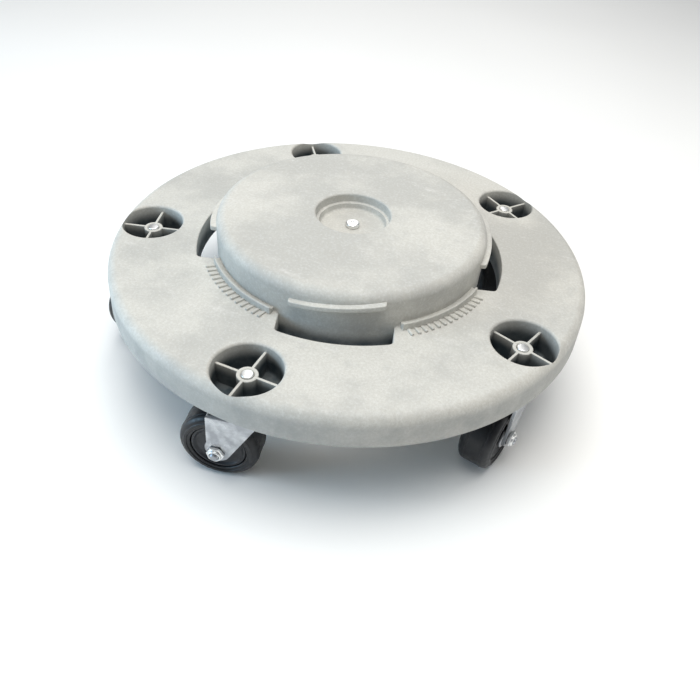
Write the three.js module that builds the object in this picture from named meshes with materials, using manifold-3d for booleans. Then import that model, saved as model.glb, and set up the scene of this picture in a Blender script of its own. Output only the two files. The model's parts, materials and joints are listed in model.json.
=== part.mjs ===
// Round bucket dolly: a moulded plastic deck with a raised twist-lock hub, carried on five
// swivel casters. Millimetres, +Z up, origin on the floor under the middle of the deck.
import * as THREE from "three";
import { mergeVertices } from "three/addons/utils/BufferGeometryUtils.js";
import Module from "manifold-3d";

const wasm = await Module();
wasm.setup();

// ---- Driving dimensions -------------------------------------------------------------
const DECK_RADIUS = 232;
const HUB_TOP = 161;
const DECK_TOP = 125.4;
const SKIRT_BOTTOM = 93.7;
const WALL = 4.5;
const PLATE = 5;
const SHOULDER_RADIUS = 9;
const SKIRT_DRAFT = 1;

const HUB_RADIUS = 129.5;
const HUB_FILLET = 9.5;
const RECESS_RADIUS = 36;
const RECESS_LIP = 1.2;
const RECESS_DRAFT = 0.4;
const RECESS_STEP_Z = HUB_TOP - 8.6;
const RECESS_STEP_WIDTH = 2.9;
const RECESS_FLOOR_RADIUS = 31.5;
const RECESS_FLOOR_Z = HUB_TOP - 14.5;

const SOCKET_COUNT = 5;
const SOCKET_CIRCLE = 200;
const SOCKET_FIRST_ANGLE = 198;
const SOCKET_RADIUS = 29.3;
const SOCKET_FLOOR_Z = SKIRT_BOTTOM + 4;
const BOSS_RADIUS = 9;
const BOSS_TOP = 118.6;
const SOCKET_RIB_WIDTH = 2.4;

const WINDOW_COUNT = 4;
const WINDOW_FIRST_ANGLE = 18;
const WINDOW_HALF_WIDTH = 50;
const WINDOW_OUTER_RADIUS = 149.5;
const WINDOW_COLLAR_BOTTOM = 101;
const LEDGE_RADIUS = 134.8;
const LEDGE_HALF_WIDTH = 41;
// The ledges are ramps: this is their height halfway along, and how fast they rise.
const LEDGE_TOP = 150.2;
const LEDGE_SLOPE = 0.09;
const LEDGE_THICKNESS = 4.5;
const RAIL_RADIUS = 135.5;
const RAIL_HEIGHT = 7;
const RAIL_HALF_ANGLE = 20;
const RAIL_LIP = 1.8;
const RAIL_GROOVE_DEPTH = 2.5;
const TOOTH_COUNT = 14;
const TOOTH_RADIUS = 144.2;
const TOOTH_HEIGHT = 2.4;
const TOOTH_SLOPE = 0.13;
const TOOTH_WIDTH = 3;
const TOOTH_HALF_ANGLE = 17.6;
const DECK_RIB_DEPTH = 14;
const DECK_RIB_WIDTH = 3;

const WHEEL_RADIUS = 36;
const TREAD_WIDTH = 31;
const TREAD_EDGE = 6.5;
const TYRE_BORE = 25.3;
const HUB_HALF = 13.6;
const HUB_FACE_RADIUS = 11;
const WEB_INNER_RADIUS = 12;
const WEB_OUTER_RADIUS = 20.5;
const WEB_HALF = 11.6;
const RIM_HALF = 13.6;
const TRAIL = 24.8;
const FORK_THICKNESS = 2.5;
const FORK_INNER = 16.5;
const FORK_PLATE_TOP = 80.8;
const FORK_NOSE = -11.5;
const FORK_NOSE_DEPTH = 6;
const FORK_TAIL = 31.5;
const FORK_TAIL_CHAMFER = 3;
const FORK_EYE_RADIUS = 10;
const FORK_EYE_OFFSET = 1.7;
const FORK_EYE_START = 209;
const FORK_EYE_END = 362;
const CROWN_RACE_RADIUS = 18.6;
const CROWN_RACE_HEIGHT = 4.6;
const STEM_RADIUS = 5.2;
const STEM_TOP = BOSS_TOP + 0.9;
const RIVET_RADIUS = 8;
const RIVET_HEIGHT = 3.2;
const TOP_RACE_RADIUS = 22.2;
const TOP_RACE_DEPTH = 8;
const TOP_RACE_SHEET = 2.2;
const BALL_CIRCLE = 15;
const BALL_RADIUS = 2.5;
const BALL_DROP = 5;
const AXLE_RADIUS = 4;
const AXLE_HEAD_FLATS = 13;
const AXLE_HEAD_HEIGHT = 5.2;
const AXLE_NUT_FLATS = 14;
const AXLE_NUT_HEIGHT = 5.2;
const AXLE_END = 6.7;
const SLEEVE_RADIUS = 6.2;
const GUARD_RADIUS = 11.5;

const CENTRE_SHANK_RADIUS = 4;
const CENTRE_SHANK_LENGTH = 17;
const CENTRE_HEAD_RADIUS = 7;
const CENTRE_HEAD_HEIGHT = 4;
const CENTRE_DIMPLE_RADIUS = 2.6;
const CENTRE_DIMPLE_DEPTH = 1.6;
const CENTRE_WASHER_RADIUS = 10;
const CENTRE_WASHER_THICKNESS = 1.6;
const CENTRE_NUT_FLATS = 13;
const CENTRE_NUT_HEIGHT = 6.5;
// Heading of each caster's trail, in degrees about +Z, in socket order.
const CASTER_HEADINGS = [253, 192.4, 258.7, 285, 208];

const GAP = 0.3;
const DECK_SEGMENTS = 60;
const WHEEL_SEGMENTS = 20;
const SMALL_SEGMENTS = 12;
const CUP_SEGMENTS = 20;
const ARC_STEPS = 3;
const TREAD_STEPS = 2;

// ---- Finishes -----------------------------------------------------------------------
const finish = (color, roughness, metalness) =>
  new THREE.MeshStandardMaterial({ color, roughness, metalness });
const DECK_PLASTIC = finish(0xcfd1cc, 0.7, 0);
const ZINC_STEEL = finish(0xb4b7ba, 0.35, 1);
const BRIGHT_STEEL = finish(0xd8d9da, 0.25, 1);
const TYRE_RUBBER = finish(0x2a2b2d, 0.65, 0);
const CORE_PLASTIC = finish(0x33363a, 0.5, 0);
const SLEEVE_STEEL = finish(0x9a9c9e, 0.4, 1);

// ---- Solid modelling helpers --------------------------------------------------------
const radians = (degrees) => (degrees * Math.PI) / 180;

// A closed geometry as a manifold solid, turned right side out when its faces point inwards.
function solidOf(geometry) {
  const bare = new THREE.BufferGeometry();
  bare.setAttribute("position", geometry.getAttribute("position").clone());
  bare.setIndex(geometry.index);
  const merged = mergeVertices(bare, 1e-3);
  const vertProperties = merged.getAttribute("position").array;
  const triVerts = new Uint32Array(merged.index.array);
  const made = new wasm.Manifold(new wasm.Mesh({ numProp: 3, vertProperties, triVerts }));
  if (made.volume() > 0) return made;
  triVerts.reverse();
  return new wasm.Manifold(new wasm.Mesh({ numProp: 3, vertProperties, triVerts }));
}

// A manifold solid as a three.js geometry.
function geometryOf(solid) {
  const mesh = solid.getMesh();
  const geometry = new THREE.BufferGeometry();
  geometry.setAttribute("position", new THREE.BufferAttribute(mesh.vertProperties, 3));
  geometry.setIndex(new THREE.BufferAttribute(mesh.triVerts, 1));
  geometry.computeVertexNormals();
  return geometry;
}

const union = (solids) => solids.reduce((sum, solid) => sum.add(solid));

// A solid of revolution about +Z from a closed list of [radius, z] points.
function revolve(profile, segments) {
  const points = profile.map(([r, z]) => new THREE.Vector2(r, z));
  const closes = profile[0][0] > 0 || profile[profile.length - 1][0] > 0;
  if (closes) points.push(points[0].clone());
  const geometry = new THREE.LatheGeometry(points, segments);
  geometry.rotateX(Math.PI / 2);
  geometry.rotateZ(Math.PI / 2);
  return solidOf(geometry);
}

// Points of an arc in the profile plane, angles in degrees from +r towards +z.
function arc(cr, cz, radius, from, to, steps) {
  return Array.from({ length: steps + 1 }, (_, i) => {
    const angle = radians(from + ((to - from) * i) / steps);
    return [cr + radius * Math.cos(angle), cz + radius * Math.sin(angle)];
  });
}

// A flat XY outline pushed up from z0 to z1.
function prism(outline, z0, z1) {
  const shape = outline instanceof THREE.Shape ? outline : new THREE.Shape(outline);
  const geometry = new THREE.ExtrudeGeometry(shape, {
    depth: z1 - z0,
    bevelEnabled: false,
    curveSegments: 8,
  });
  geometry.translate(0, 0, z0);
  return solidOf(geometry);
}

// A box given by its lowest and highest corners.
function block([x0, y0, z0], [x1, y1, z1]) {
  const geometry = new THREE.BoxGeometry(x1 - x0, y1 - y0, z1 - z0);
  geometry.translate((x0 + x1) / 2, (y0 + y1) / 2, (z0 + z1) / 2);
  return solidOf(geometry);
}

// An upright cylinder about (x, y).
function post(x, y, radius, z0, z1, segments = SMALL_SEGMENTS) {
  const geometry = new THREE.CylinderGeometry(radius, radius, z1 - z0, segments);
  geometry.rotateX(Math.PI / 2);
  geometry.translate(x, y, (z0 + z1) / 2);
  return solidOf(geometry);
}

const turned = (solid, degrees) => solid.rotate([0, 0, degrees]);
const ringAngles = (count, first = 0) =>
  Array.from({ length: count }, (_, i) => first + (i * 360) / count);
const around = (solid, angles) => union(angles.map((angle) => turned(solid, angle)));

// The outline of a ring sector between two radii, in degrees about +X.
function sector(inner, outer, halfAngle, steps) {
  const points = [];
  for (let i = 0; i <= steps; i += 1) {
    const angle = radians(-halfAngle + (2 * halfAngle * i) / steps);
    points.push(new THREE.Vector2(outer * Math.cos(angle), outer * Math.sin(angle)));
  }
  for (let i = steps; i >= 0; i -= 1) {
    const angle = radians(-halfAngle + (2 * halfAngle * i) / steps);
    points.push(new THREE.Vector2(inner * Math.cos(angle), inner * Math.sin(angle)));
  }
  return points;
}

// An outline with parallel sides at y = +-halfWidth between two arcs about the origin.
function parallelSector(inner, outer, halfWidth, steps) {
  const points = [];
  for (let i = 0; i <= steps; i += 1) {
    const y = -halfWidth + (2 * halfWidth * i) / steps;
    points.push(new THREE.Vector2(Math.sqrt(outer * outer - y * y), y));
  }
  for (let i = steps; i >= 0; i -= 1) {
    const y = -halfWidth + (2 * halfWidth * i) / steps;
    points.push(new THREE.Vector2(Math.sqrt(inner * inner - y * y), y));
  }
  return points;
}

// ---- Deck ---------------------------------------------------------------------------
const socketAngles = ringAngles(SOCKET_COUNT, SOCKET_FIRST_ANGLE);
const windowAngles = ringAngles(WINDOW_COUNT, WINDOW_FIRST_ANGLE);
const railAngles = ringAngles(WINDOW_COUNT, WINDOW_FIRST_ANGLE + 45);
const ribAngles = ringAngles(SOCKET_COUNT, SOCKET_FIRST_ANGLE + 36);

// The outer skin of the deck, solid right down to the skirt's bottom edge.
function deckEnvelope() {
  const shoulder = DECK_RADIUS - SKIRT_DRAFT - SHOULDER_RADIUS;
  const profile = [
    [0, SKIRT_BOTTOM],
    [DECK_RADIUS, SKIRT_BOTTOM],
    ...arc(shoulder, DECK_TOP - SHOULDER_RADIUS, SHOULDER_RADIUS, 0, 90, ARC_STEPS),
    [HUB_RADIUS, DECK_TOP],
    ...arc(HUB_RADIUS - HUB_FILLET, HUB_TOP - HUB_FILLET, HUB_FILLET, 0, 90, ARC_STEPS),
    [RECESS_RADIUS + RECESS_LIP, HUB_TOP],
    [RECESS_RADIUS, HUB_TOP - RECESS_LIP],
    [RECESS_RADIUS - RECESS_DRAFT, RECESS_STEP_Z],
    [RECESS_RADIUS - RECESS_STEP_WIDTH, RECESS_STEP_Z],
    [RECESS_FLOOR_RADIUS, RECESS_FLOOR_Z],
    [0, RECESS_FLOOR_Z],
  ];
  return revolve(profile, DECK_SEGMENTS);
}

// The hollow under the deck, the hub and the shoulder.
function deckHollow() {
  const skirt = DECK_RADIUS - SKIRT_DRAFT - WALL;
  const hub = HUB_RADIUS - WALL;
  const profile = [
    [0, SKIRT_BOTTOM - 1],
    [DECK_RADIUS - WALL, SKIRT_BOTTOM - 1],
    [skirt, DECK_TOP - SHOULDER_RADIUS],
    [skirt - 4, DECK_TOP - PLATE],
    [hub, DECK_TOP - PLATE],
    [hub, HUB_TOP - HUB_FILLET],
    [hub - 5, HUB_TOP - PLATE],
    [RECESS_RADIUS + WALL, HUB_TOP - PLATE],
    [RECESS_RADIUS + WALL - 1, RECESS_STEP_Z - PLATE],
    [RECESS_RADIUS - 1, RECESS_FLOOR_Z - PLATE],
    [0, RECESS_FLOOR_Z - PLATE],
  ];
  return revolve(profile, DECK_SEGMENTS);
}

// What stands inside the hollow: socket cups, window collars and stiffening ribs.
function deckInnerStructure() {
  const cup = post(SOCKET_CIRCLE, 0, SOCKET_RADIUS + WALL - 1, SKIRT_BOTTOM, DECK_TOP, CUP_SEGMENTS);
  const collar = prism(
    parallelSector(HUB_RADIUS - WALL, WINDOW_OUTER_RADIUS + 3.5, WINDOW_HALF_WIDTH + 3.5, 6),
    WINDOW_COLLAR_BOTTOM,
    DECK_TOP,
  );
  const halfRib = DECK_RIB_WIDTH / 2;
  const rib = block(
    [HUB_RADIUS - WALL, -halfRib, DECK_TOP - DECK_RIB_DEPTH - PLATE],
    [DECK_RADIUS - 2, halfRib, DECK_TOP],
  );
  return union([
    around(cup, socketAngles),
    around(collar, windowAngles),
    around(rib, ribAngles),
  ]);
}

// One socket's hollow: an open cup around a central boss that four thin ribs hold.
function socketHollow() {
  const half = SOCKET_RIB_WIDTH / 2;
  const reach = SOCKET_RADIUS + 1;
  const cup = post(SOCKET_CIRCLE, 0, SOCKET_RADIUS, SOCKET_FLOOR_Z, HUB_TOP, CUP_SEGMENTS);
  const kept = union([
    post(SOCKET_CIRCLE, 0, BOSS_RADIUS, SOCKET_FLOOR_Z - 1, BOSS_TOP),
    block(
      [SOCKET_CIRCLE - reach, -half, SOCKET_FLOOR_Z - 1],
      [SOCKET_CIRCLE + reach, half, BOSS_TOP],
    ),
    block(
      [SOCKET_CIRCLE - half, -reach, SOCKET_FLOOR_Z - 1],
      [SOCKET_CIRCLE + half, reach, BOSS_TOP],
    ),
  ]);
  const bore = post(SOCKET_CIRCLE, 0, STEM_RADIUS + GAP, SKIRT_BOTTOM - 1, BOSS_TOP + 1);
  return cup.subtract(kept).add(bore);
}

// The raised rail between two windows, with its row of small radial teeth.
function lockRail() {
  const railTop = DECK_TOP + RAIL_HEIGHT;
  const bar = prism(
    sector(HUB_RADIUS - 2, RAIL_RADIUS, RAIL_HALF_ANGLE, 8),
    DECK_TOP - 2,
    railTop,
  );
  const groove = prism(
    sector(HUB_RADIUS, RAIL_RADIUS - RAIL_LIP, RAIL_HALF_ANGLE + 1, 8),
    railTop - RAIL_GROOVE_DEPTH,
    railTop + 1,
  );
  const rail = bar.subtract(groove);
  const half = TOOTH_WIDTH / 2;
  const tooth = block(
    [RAIL_RADIUS - 1.5, -half, DECK_TOP - 2],
    [TOOTH_RADIUS, half, DECK_TOP + TOOTH_HEIGHT],
  ).warp((point) => {
    if (point[2] > DECK_TOP) point[2] -= (TOOTH_RADIUS - point[0]) * TOOTH_SLOPE;
  });
  const step = (2 * TOOTH_HALF_ANGLE) / (TOOTH_COUNT - 1);
  const angles = Array.from({ length: TOOTH_COUNT }, (_, i) => -TOOTH_HALF_ANGLE + i * step);
  return rail.add(around(tooth, angles));
}

function deckSolid() {
  const hollow = deckHollow().subtract(deckInnerStructure());
  const window = prism(
    parallelSector(HUB_RADIUS, WINDOW_OUTER_RADIUS, WINDOW_HALF_WIDTH, 6),
    SKIRT_BOTTOM,
    DECK_TOP + 0.5,
  );
  const ledge = prism(
    parallelSector(HUB_RADIUS - 3, LEDGE_RADIUS, LEDGE_HALF_WIDTH, 6),
    LEDGE_TOP - LEDGE_THICKNESS,
    LEDGE_TOP,
  ).warp((point) => {
    point[2] += point[1] * LEDGE_SLOPE;
  });
  const bore = CENTRE_SHANK_RADIUS + GAP;
  const centreHole = post(0, 0, bore, RECESS_FLOOR_Z - PLATE - 1, RECESS_FLOOR_Z + 1);
  return deckEnvelope()
    .subtract(hollow)
    .subtract(around(window, windowAngles))
    .subtract(around(socketHollow(), socketAngles))
    .subtract(centreHole)
    .add(around(ledge, windowAngles))
    .add(around(lockRail(), railAngles));
}

// ---- Centre fastener ----------------------------------------------------------------
function centreBolt() {
  const seat = RECESS_FLOOR_Z + GAP;
  const top = seat + CENTRE_HEAD_HEIGHT;
  const end = seat - CENTRE_SHANK_LENGTH;
  return revolve(
    [
      [0, end],
      [CENTRE_SHANK_RADIUS - 0.6, end],
      [CENTRE_SHANK_RADIUS, end + 0.6],
      [CENTRE_SHANK_RADIUS, seat],
      [CENTRE_HEAD_RADIUS, seat],
      [CENTRE_HEAD_RADIUS, top - 2.4],
      [CENTRE_HEAD_RADIUS - 1.6, top - 0.6],
      [CENTRE_DIMPLE_RADIUS, top],
      [CENTRE_DIMPLE_RADIUS - 0.6, top - CENTRE_DIMPLE_DEPTH],
      [0, top - CENTRE_DIMPLE_DEPTH],
    ],
    SMALL_SEGMENTS,
  );
}

function centreWasher() {
  const top = RECESS_FLOOR_Z - PLATE - GAP;
  const low = top - CENTRE_WASHER_THICKNESS;
  const bore = CENTRE_SHANK_RADIUS + GAP;
  const profile = [[bore, low], [CENTRE_WASHER_RADIUS, low], [CENTRE_WASHER_RADIUS, top], [bore, top]];
  return revolve(profile, SMALL_SEGMENTS);
}

// A hexagon nut about +Z, with its bore.
function nut(acrossFlats, bore, z0, z1) {
  const hexagon = post(0, 0, acrossFlats / Math.sqrt(3), z0, z1, 6);
  return hexagon.subtract(post(0, 0, bore, z0 - 1, z1 + 1));
}

// ---- Caster pieces, about the swivel axis with the trail along +X -------------------

// Kingpin stem: rivet head under the fork, shank up through race and boss, bright crown on top.
function stemSolid() {
  const head = FORK_PLATE_TOP - FORK_THICKNESS - GAP;
  return revolve(
    [
      [0, head - RIVET_HEIGHT],
      [RIVET_RADIUS - 3, head - RIVET_HEIGHT],
      [RIVET_RADIUS, head - 1.4],
      [RIVET_RADIUS, head],
      [STEM_RADIUS, head],
      [STEM_RADIUS, STEM_TOP - 1.4],
      [STEM_RADIUS - 1.6, STEM_TOP - 0.3],
      [0, STEM_TOP],
    ],
    SMALL_SEGMENTS,
  );
}

// Upper race: an inverted dish that seats against the bottom of the socket.
function topRaceSolid() {
  const top = SKIRT_BOTTOM - GAP;
  const bore = STEM_RADIUS + GAP;
  const inside = TOP_RACE_RADIUS - TOP_RACE_SHEET;
  return revolve(
    [
      [bore, top - TOP_RACE_SHEET],
      [inside - 1.2, top - TOP_RACE_SHEET],
      [inside, top - TOP_RACE_SHEET - 1.2],
      [inside, top - TOP_RACE_DEPTH],
      [TOP_RACE_RADIUS, top - TOP_RACE_DEPTH],
      [TOP_RACE_RADIUS, top - 2],
      [TOP_RACE_RADIUS - 2, top],
      [bore, top],
    ],
    SMALL_SEGMENTS,
  );
}

// Ball ring: the balls and their retainer as one ring between the races.
function ballRingSolid() {
  const centre = SKIRT_BOTTOM - GAP - BALL_DROP;
  return revolve(arc(BALL_CIRCLE, centre, BALL_RADIUS, 0, 300, 5), SMALL_SEGMENTS);
}

// Side outline of a fork leg, x along the trail and y up.
function legOutline() {
  const shape = new THREE.Shape();
  shape.moveTo(FORK_NOSE, FORK_PLATE_TOP);
  shape.lineTo(FORK_NOSE, FORK_PLATE_TOP - FORK_NOSE_DEPTH);
  // The raked edge meets the round eye where it is tangent to it.
  const startAngle = radians(FORK_EYE_START);
  const endAngle = radians(FORK_EYE_END);
  const eyeX = TRAIL - FORK_EYE_OFFSET;
  shape.lineTo(
    eyeX + FORK_EYE_RADIUS * Math.cos(startAngle),
    WHEEL_RADIUS + FORK_EYE_RADIUS * Math.sin(startAngle),
  );
  shape.absarc(eyeX, WHEEL_RADIUS, FORK_EYE_RADIUS, startAngle, endAngle, false);
  shape.lineTo(FORK_TAIL, FORK_PLATE_TOP - FORK_TAIL_CHAMFER);
  shape.lineTo(FORK_TAIL - FORK_TAIL_CHAMFER, FORK_PLATE_TOP);
  shape.closePath();
  return shape;
}

// A piece laid out upright: x along the trail, y up, pushed along the axle from side0 to side1.
function plateOnAxle(shape, side0, side1) {
  const flat = prism(shape, side0, side1);
  // Standing the plate up turns its thickness from +Z to -Y, so the two sides mirror.
  return flat.rotate([90, 0, 0]);
}

// A solid of revolution laid along the axle of the wheel.
function onAxle(solid) {
  return solid.rotate([90, 0, 0]).translate([TRAIL, 0, WHEEL_RADIUS]);
}

function forkSolid() {
  const outer = FORK_INNER + FORK_THICKNESS;
  const underside = FORK_PLATE_TOP - FORK_THICKNESS;
  const tail = FORK_TAIL - FORK_TAIL_CHAMFER;
  const plate = block([FORK_NOSE, -outer, underside], [tail, outer, FORK_PLATE_TOP]);
  const crown = FORK_PLATE_TOP + CROWN_RACE_HEIGHT;
  const race = revolve(
    [
      [0, underside],
      [CROWN_RACE_RADIUS, underside],
      [CROWN_RACE_RADIUS, crown - 2.6],
      [CROWN_RACE_RADIUS - 1.2, crown],
      [0, crown],
    ],
    SMALL_SEGMENTS,
  );
  const legs = [FORK_INNER, -outer].map((side) =>
    plateOnAxle(legOutline(), side, side + FORK_THICKNESS),
  );
  const kingpinHole = post(0, 0, STEM_RADIUS + GAP, underside - 1, crown + 1);
  const axleHole = onAxle(post(0, 0, AXLE_RADIUS + GAP, -outer - 1, outer + 1));
  return union([plate, race, ...legs]).subtract(kingpinHole).subtract(axleHole);
}

function tyreSolid() {
  const half = TREAD_WIDTH / 2;
  const inner = TYRE_BORE;
  // The facets run outside the true round, so the wheel stands on a flat at its true radius.
  const rounding = 1 / Math.cos(Math.PI / WHEEL_SEGMENTS);
  const crown = WHEEL_RADIUS * rounding - TREAD_EDGE;
  const profile = [
    [inner, half],
    [inner, -half],
    ...arc(crown, TREAD_EDGE - half, TREAD_EDGE, 270, 360, TREAD_STEPS),
    ...arc(crown, half - TREAD_EDGE, TREAD_EDGE, 0, 90, TREAD_STEPS),
  ];
  return onAxle(turned(revolve(profile, WHEEL_SEGMENTS), 180 / WHEEL_SEGMENTS));
}

function wheelCoreSolid() {
  const bore = SLEEVE_RADIUS + GAP;
  const rim = TYRE_BORE - 2 * GAP;
  const profile = [
    [bore, -HUB_HALF],
    [HUB_FACE_RADIUS, -HUB_HALF],
    [WEB_INNER_RADIUS, -WEB_HALF],
    [WEB_OUTER_RADIUS, -WEB_HALF],
    [rim, -RIM_HALF],
    [rim, RIM_HALF],
    [WEB_OUTER_RADIUS, WEB_HALF],
    [WEB_INNER_RADIUS, WEB_HALF],
    [HUB_FACE_RADIUS, HUB_HALF],
    [bore, HUB_HALF],
  ];
  return onAxle(revolve(profile, WHEEL_SEGMENTS));
}

function sleeveSolid() {
  const half = FORK_INNER - GAP;
  const bore = AXLE_RADIUS + GAP;
  const profile = [[bore, -half], [SLEEVE_RADIUS, -half], [SLEEVE_RADIUS, half], [bore, half]];
  return onAxle(revolve(profile, SMALL_SEGMENTS));
}

// Thread guard washer between the wheel's hub and one fork leg.
function guardSolid(side) {
  const near = HUB_HALF + GAP;
  const far = FORK_INNER - GAP;
  const bore = SLEEVE_RADIUS + GAP;
  const profile = [[bore, near], [GUARD_RADIUS, near], [GUARD_RADIUS, far], [bore, far]];
  const guard = revolve(profile, SMALL_SEGMENTS);
  return onAxle(side > 0 ? guard.rotate([180, 0, 0]) : guard);
}

// Axle bolt: hexagon head at the +Z end, which lies on the -Y side once it is on the axle.
function axleBoltSolid() {
  const face = FORK_INNER + FORK_THICKNESS + GAP;
  const head = post(0, 0, AXLE_HEAD_FLATS / Math.sqrt(3), face, face + AXLE_HEAD_HEIGHT, 6);
  const shank = post(0, 0, AXLE_RADIUS, -face - AXLE_END, face + 1);
  return onAxle(head.add(shank));
}

function axleNutSolid() {
  const face = FORK_INNER + FORK_THICKNESS + GAP;
  return onAxle(nut(AXLE_NUT_FLATS, AXLE_RADIUS + GAP, -face - AXLE_NUT_HEIGHT, -face));
}

// ---- Assembly -----------------------------------------------------------------------
const dolly = new THREE.Group();

function addPiece(parent, name, solid, material) {
  const mesh = new THREE.Mesh(geometryOf(solid), material);
  mesh.name = name;
  parent.add(mesh);
}

addPiece(dolly, "deck", deckSolid(), DECK_PLASTIC);
addPiece(dolly, "centre_bolt", centreBolt(), BRIGHT_STEEL);
addPiece(dolly, "centre_washer", centreWasher(), ZINC_STEEL);
const nutTop = RECESS_FLOOR_Z - PLATE - CENTRE_WASHER_THICKNESS - 2 * GAP;
const centreNut = nut(CENTRE_NUT_FLATS, CENTRE_SHANK_RADIUS + GAP, nutTop - CENTRE_NUT_HEIGHT, nutTop);
addPiece(dolly, "centre_nut", centreNut, ZINC_STEEL);

const casterPieces = [
  ["stem", stemSolid(), BRIGHT_STEEL],
  ["top_race", topRaceSolid(), ZINC_STEEL],
  ["ball_ring", ballRingSolid(), BRIGHT_STEEL],
  ["fork", forkSolid(), ZINC_STEEL],
  ["axle_bolt", axleBoltSolid(), ZINC_STEEL],
  ["axle_nut", axleNutSolid(), BRIGHT_STEEL],
  ["axle_sleeve", sleeveSolid(), SLEEVE_STEEL],
  ["guard_left", guardSolid(1), SLEEVE_STEEL],
  ["guard_right", guardSolid(-1), SLEEVE_STEEL],
  ["wheel_core", wheelCoreSolid(), CORE_PLASTIC],
  ["tyre", tyreSolid(), TYRE_RUBBER],
];

socketAngles.forEach((angle, index) => {
  const caster = new THREE.Group();
  caster.position.set(
    SOCKET_CIRCLE * Math.cos(radians(angle)),
    SOCKET_CIRCLE * Math.sin(radians(angle)),
    0,
  );
  caster.rotation.z = radians(CASTER_HEADINGS[index]);
  for (const [name, solid, material] of casterPieces) {
    addPiece(caster, `caster_${index + 1}_${name}`, solid, material);
  }
  dolly.add(caster);
});

export default dolly;
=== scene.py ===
"""Round twist-lock bucket dolly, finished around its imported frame.

A moulded plastic deck with a raised hub rides on five swivel casters. Shapes are worked in
millimetres and stored in metres; every piece is placed from the frame's boxes, mounts and joints.
"""

import json
import logging
import math
from collections.abc import Callable, Iterable, Sequence
from dataclasses import dataclass, field
from enum import Enum

import bmesh
import bpy
from mathutils import Matrix, Vector


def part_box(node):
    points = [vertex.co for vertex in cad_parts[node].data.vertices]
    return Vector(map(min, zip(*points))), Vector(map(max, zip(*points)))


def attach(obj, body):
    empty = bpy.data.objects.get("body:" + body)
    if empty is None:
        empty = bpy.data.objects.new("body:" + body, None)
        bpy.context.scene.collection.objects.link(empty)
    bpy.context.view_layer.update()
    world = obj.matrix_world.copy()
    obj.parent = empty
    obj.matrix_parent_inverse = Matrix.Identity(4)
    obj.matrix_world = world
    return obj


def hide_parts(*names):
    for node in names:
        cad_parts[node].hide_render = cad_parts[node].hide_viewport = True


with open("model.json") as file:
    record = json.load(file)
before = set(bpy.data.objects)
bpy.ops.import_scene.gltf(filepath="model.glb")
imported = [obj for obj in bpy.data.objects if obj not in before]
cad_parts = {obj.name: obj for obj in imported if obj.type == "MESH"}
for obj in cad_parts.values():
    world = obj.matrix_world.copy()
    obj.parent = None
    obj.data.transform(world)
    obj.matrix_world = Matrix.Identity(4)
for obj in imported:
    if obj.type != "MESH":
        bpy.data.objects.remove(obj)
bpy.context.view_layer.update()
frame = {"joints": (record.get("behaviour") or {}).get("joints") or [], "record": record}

MM = 0.001
FULL_TURN = 360.0
Point = tuple[float, float]
Colour = tuple[float, float, float, float]
Socket = bpy.types.NodeSocket
EdgeTest = Callable[[bmesh.types.BMEdge], bool]

logging.basicConfig(level=logging.INFO, format="%(message)s")
log = logging.getLogger("dolly")


class Join(Enum):
    """How two solids are put together."""

    ADD = "UNION"
    CUT = "DIFFERENCE"
    KEEP = "INTERSECT"


class Slot(Enum):
    """The record's finish slots."""

    DECK = "deck_plastic"
    ZINC = "zinc_steel"
    BRIGHT = "bright_steel"
    SLEEVE = "sleeve_steel"
    TYRE = "tyre_rubber"
    CORE = "core_plastic"


# ---- Outlines -----------------------------------------------------------------------


def arc(centre: Point, radius: float, start: float, end: float, steps: int) -> list[Point]:
    """Points along an arc.

    Args:
        centre: Centre of the arc.
        radius: Radius of the arc.
        start: First angle in degrees.
        end: Last angle in degrees.
        steps: How many chords make the arc.

    Returns:
        The points from start to end, both included.
    """
    turns = [math.radians(start + (end - start) * i / steps) for i in range(steps + 1)]
    return [(centre[0] + radius * math.cos(t), centre[1] + radius * math.sin(t)) for t in turns]


def ring_angles(count: int, first: float) -> list[float]:
    """Angles in degrees of pieces that stand evenly round the middle."""
    return [first + FULL_TURN * i / count for i in range(count)]


def parallel_sector(
    inner: float, outer: float, half: float, corner: float, steps: int, corner_steps: int = 5,
) -> list[Point]:
    """Outline of a curved slot whose two sides are parallel.

    Args:
        inner: Radius of the inner arc.
        outer: Radius of the outer arc.
        half: Half the distance between the sides.
        corner: Radius of the two outer corners.
        steps: Chords along each long arc.
        corner_steps: Chords round each outer corner.

    Returns:
        The closed outline, anticlockwise, about +X.
    """
    reach = outer - corner
    side = half - corner
    middle = math.sqrt(reach * reach - side * side)
    lean = math.degrees(math.atan2(side, middle))
    points = [(math.sqrt(inner * inner - half * half), -half)]
    points += arc((middle, -side), corner, -90.0, -lean, corner_steps)
    points += arc((0.0, 0.0), outer, -lean, lean, steps)[1:-1]
    points += arc((middle, side), corner, lean, 90.0, corner_steps)
    edge = math.degrees(math.asin(half / inner))
    points += arc((0.0, 0.0), inner, edge, -edge, steps)[:-1]
    return points


# ---- Solids -------------------------------------------------------------------------


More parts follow.
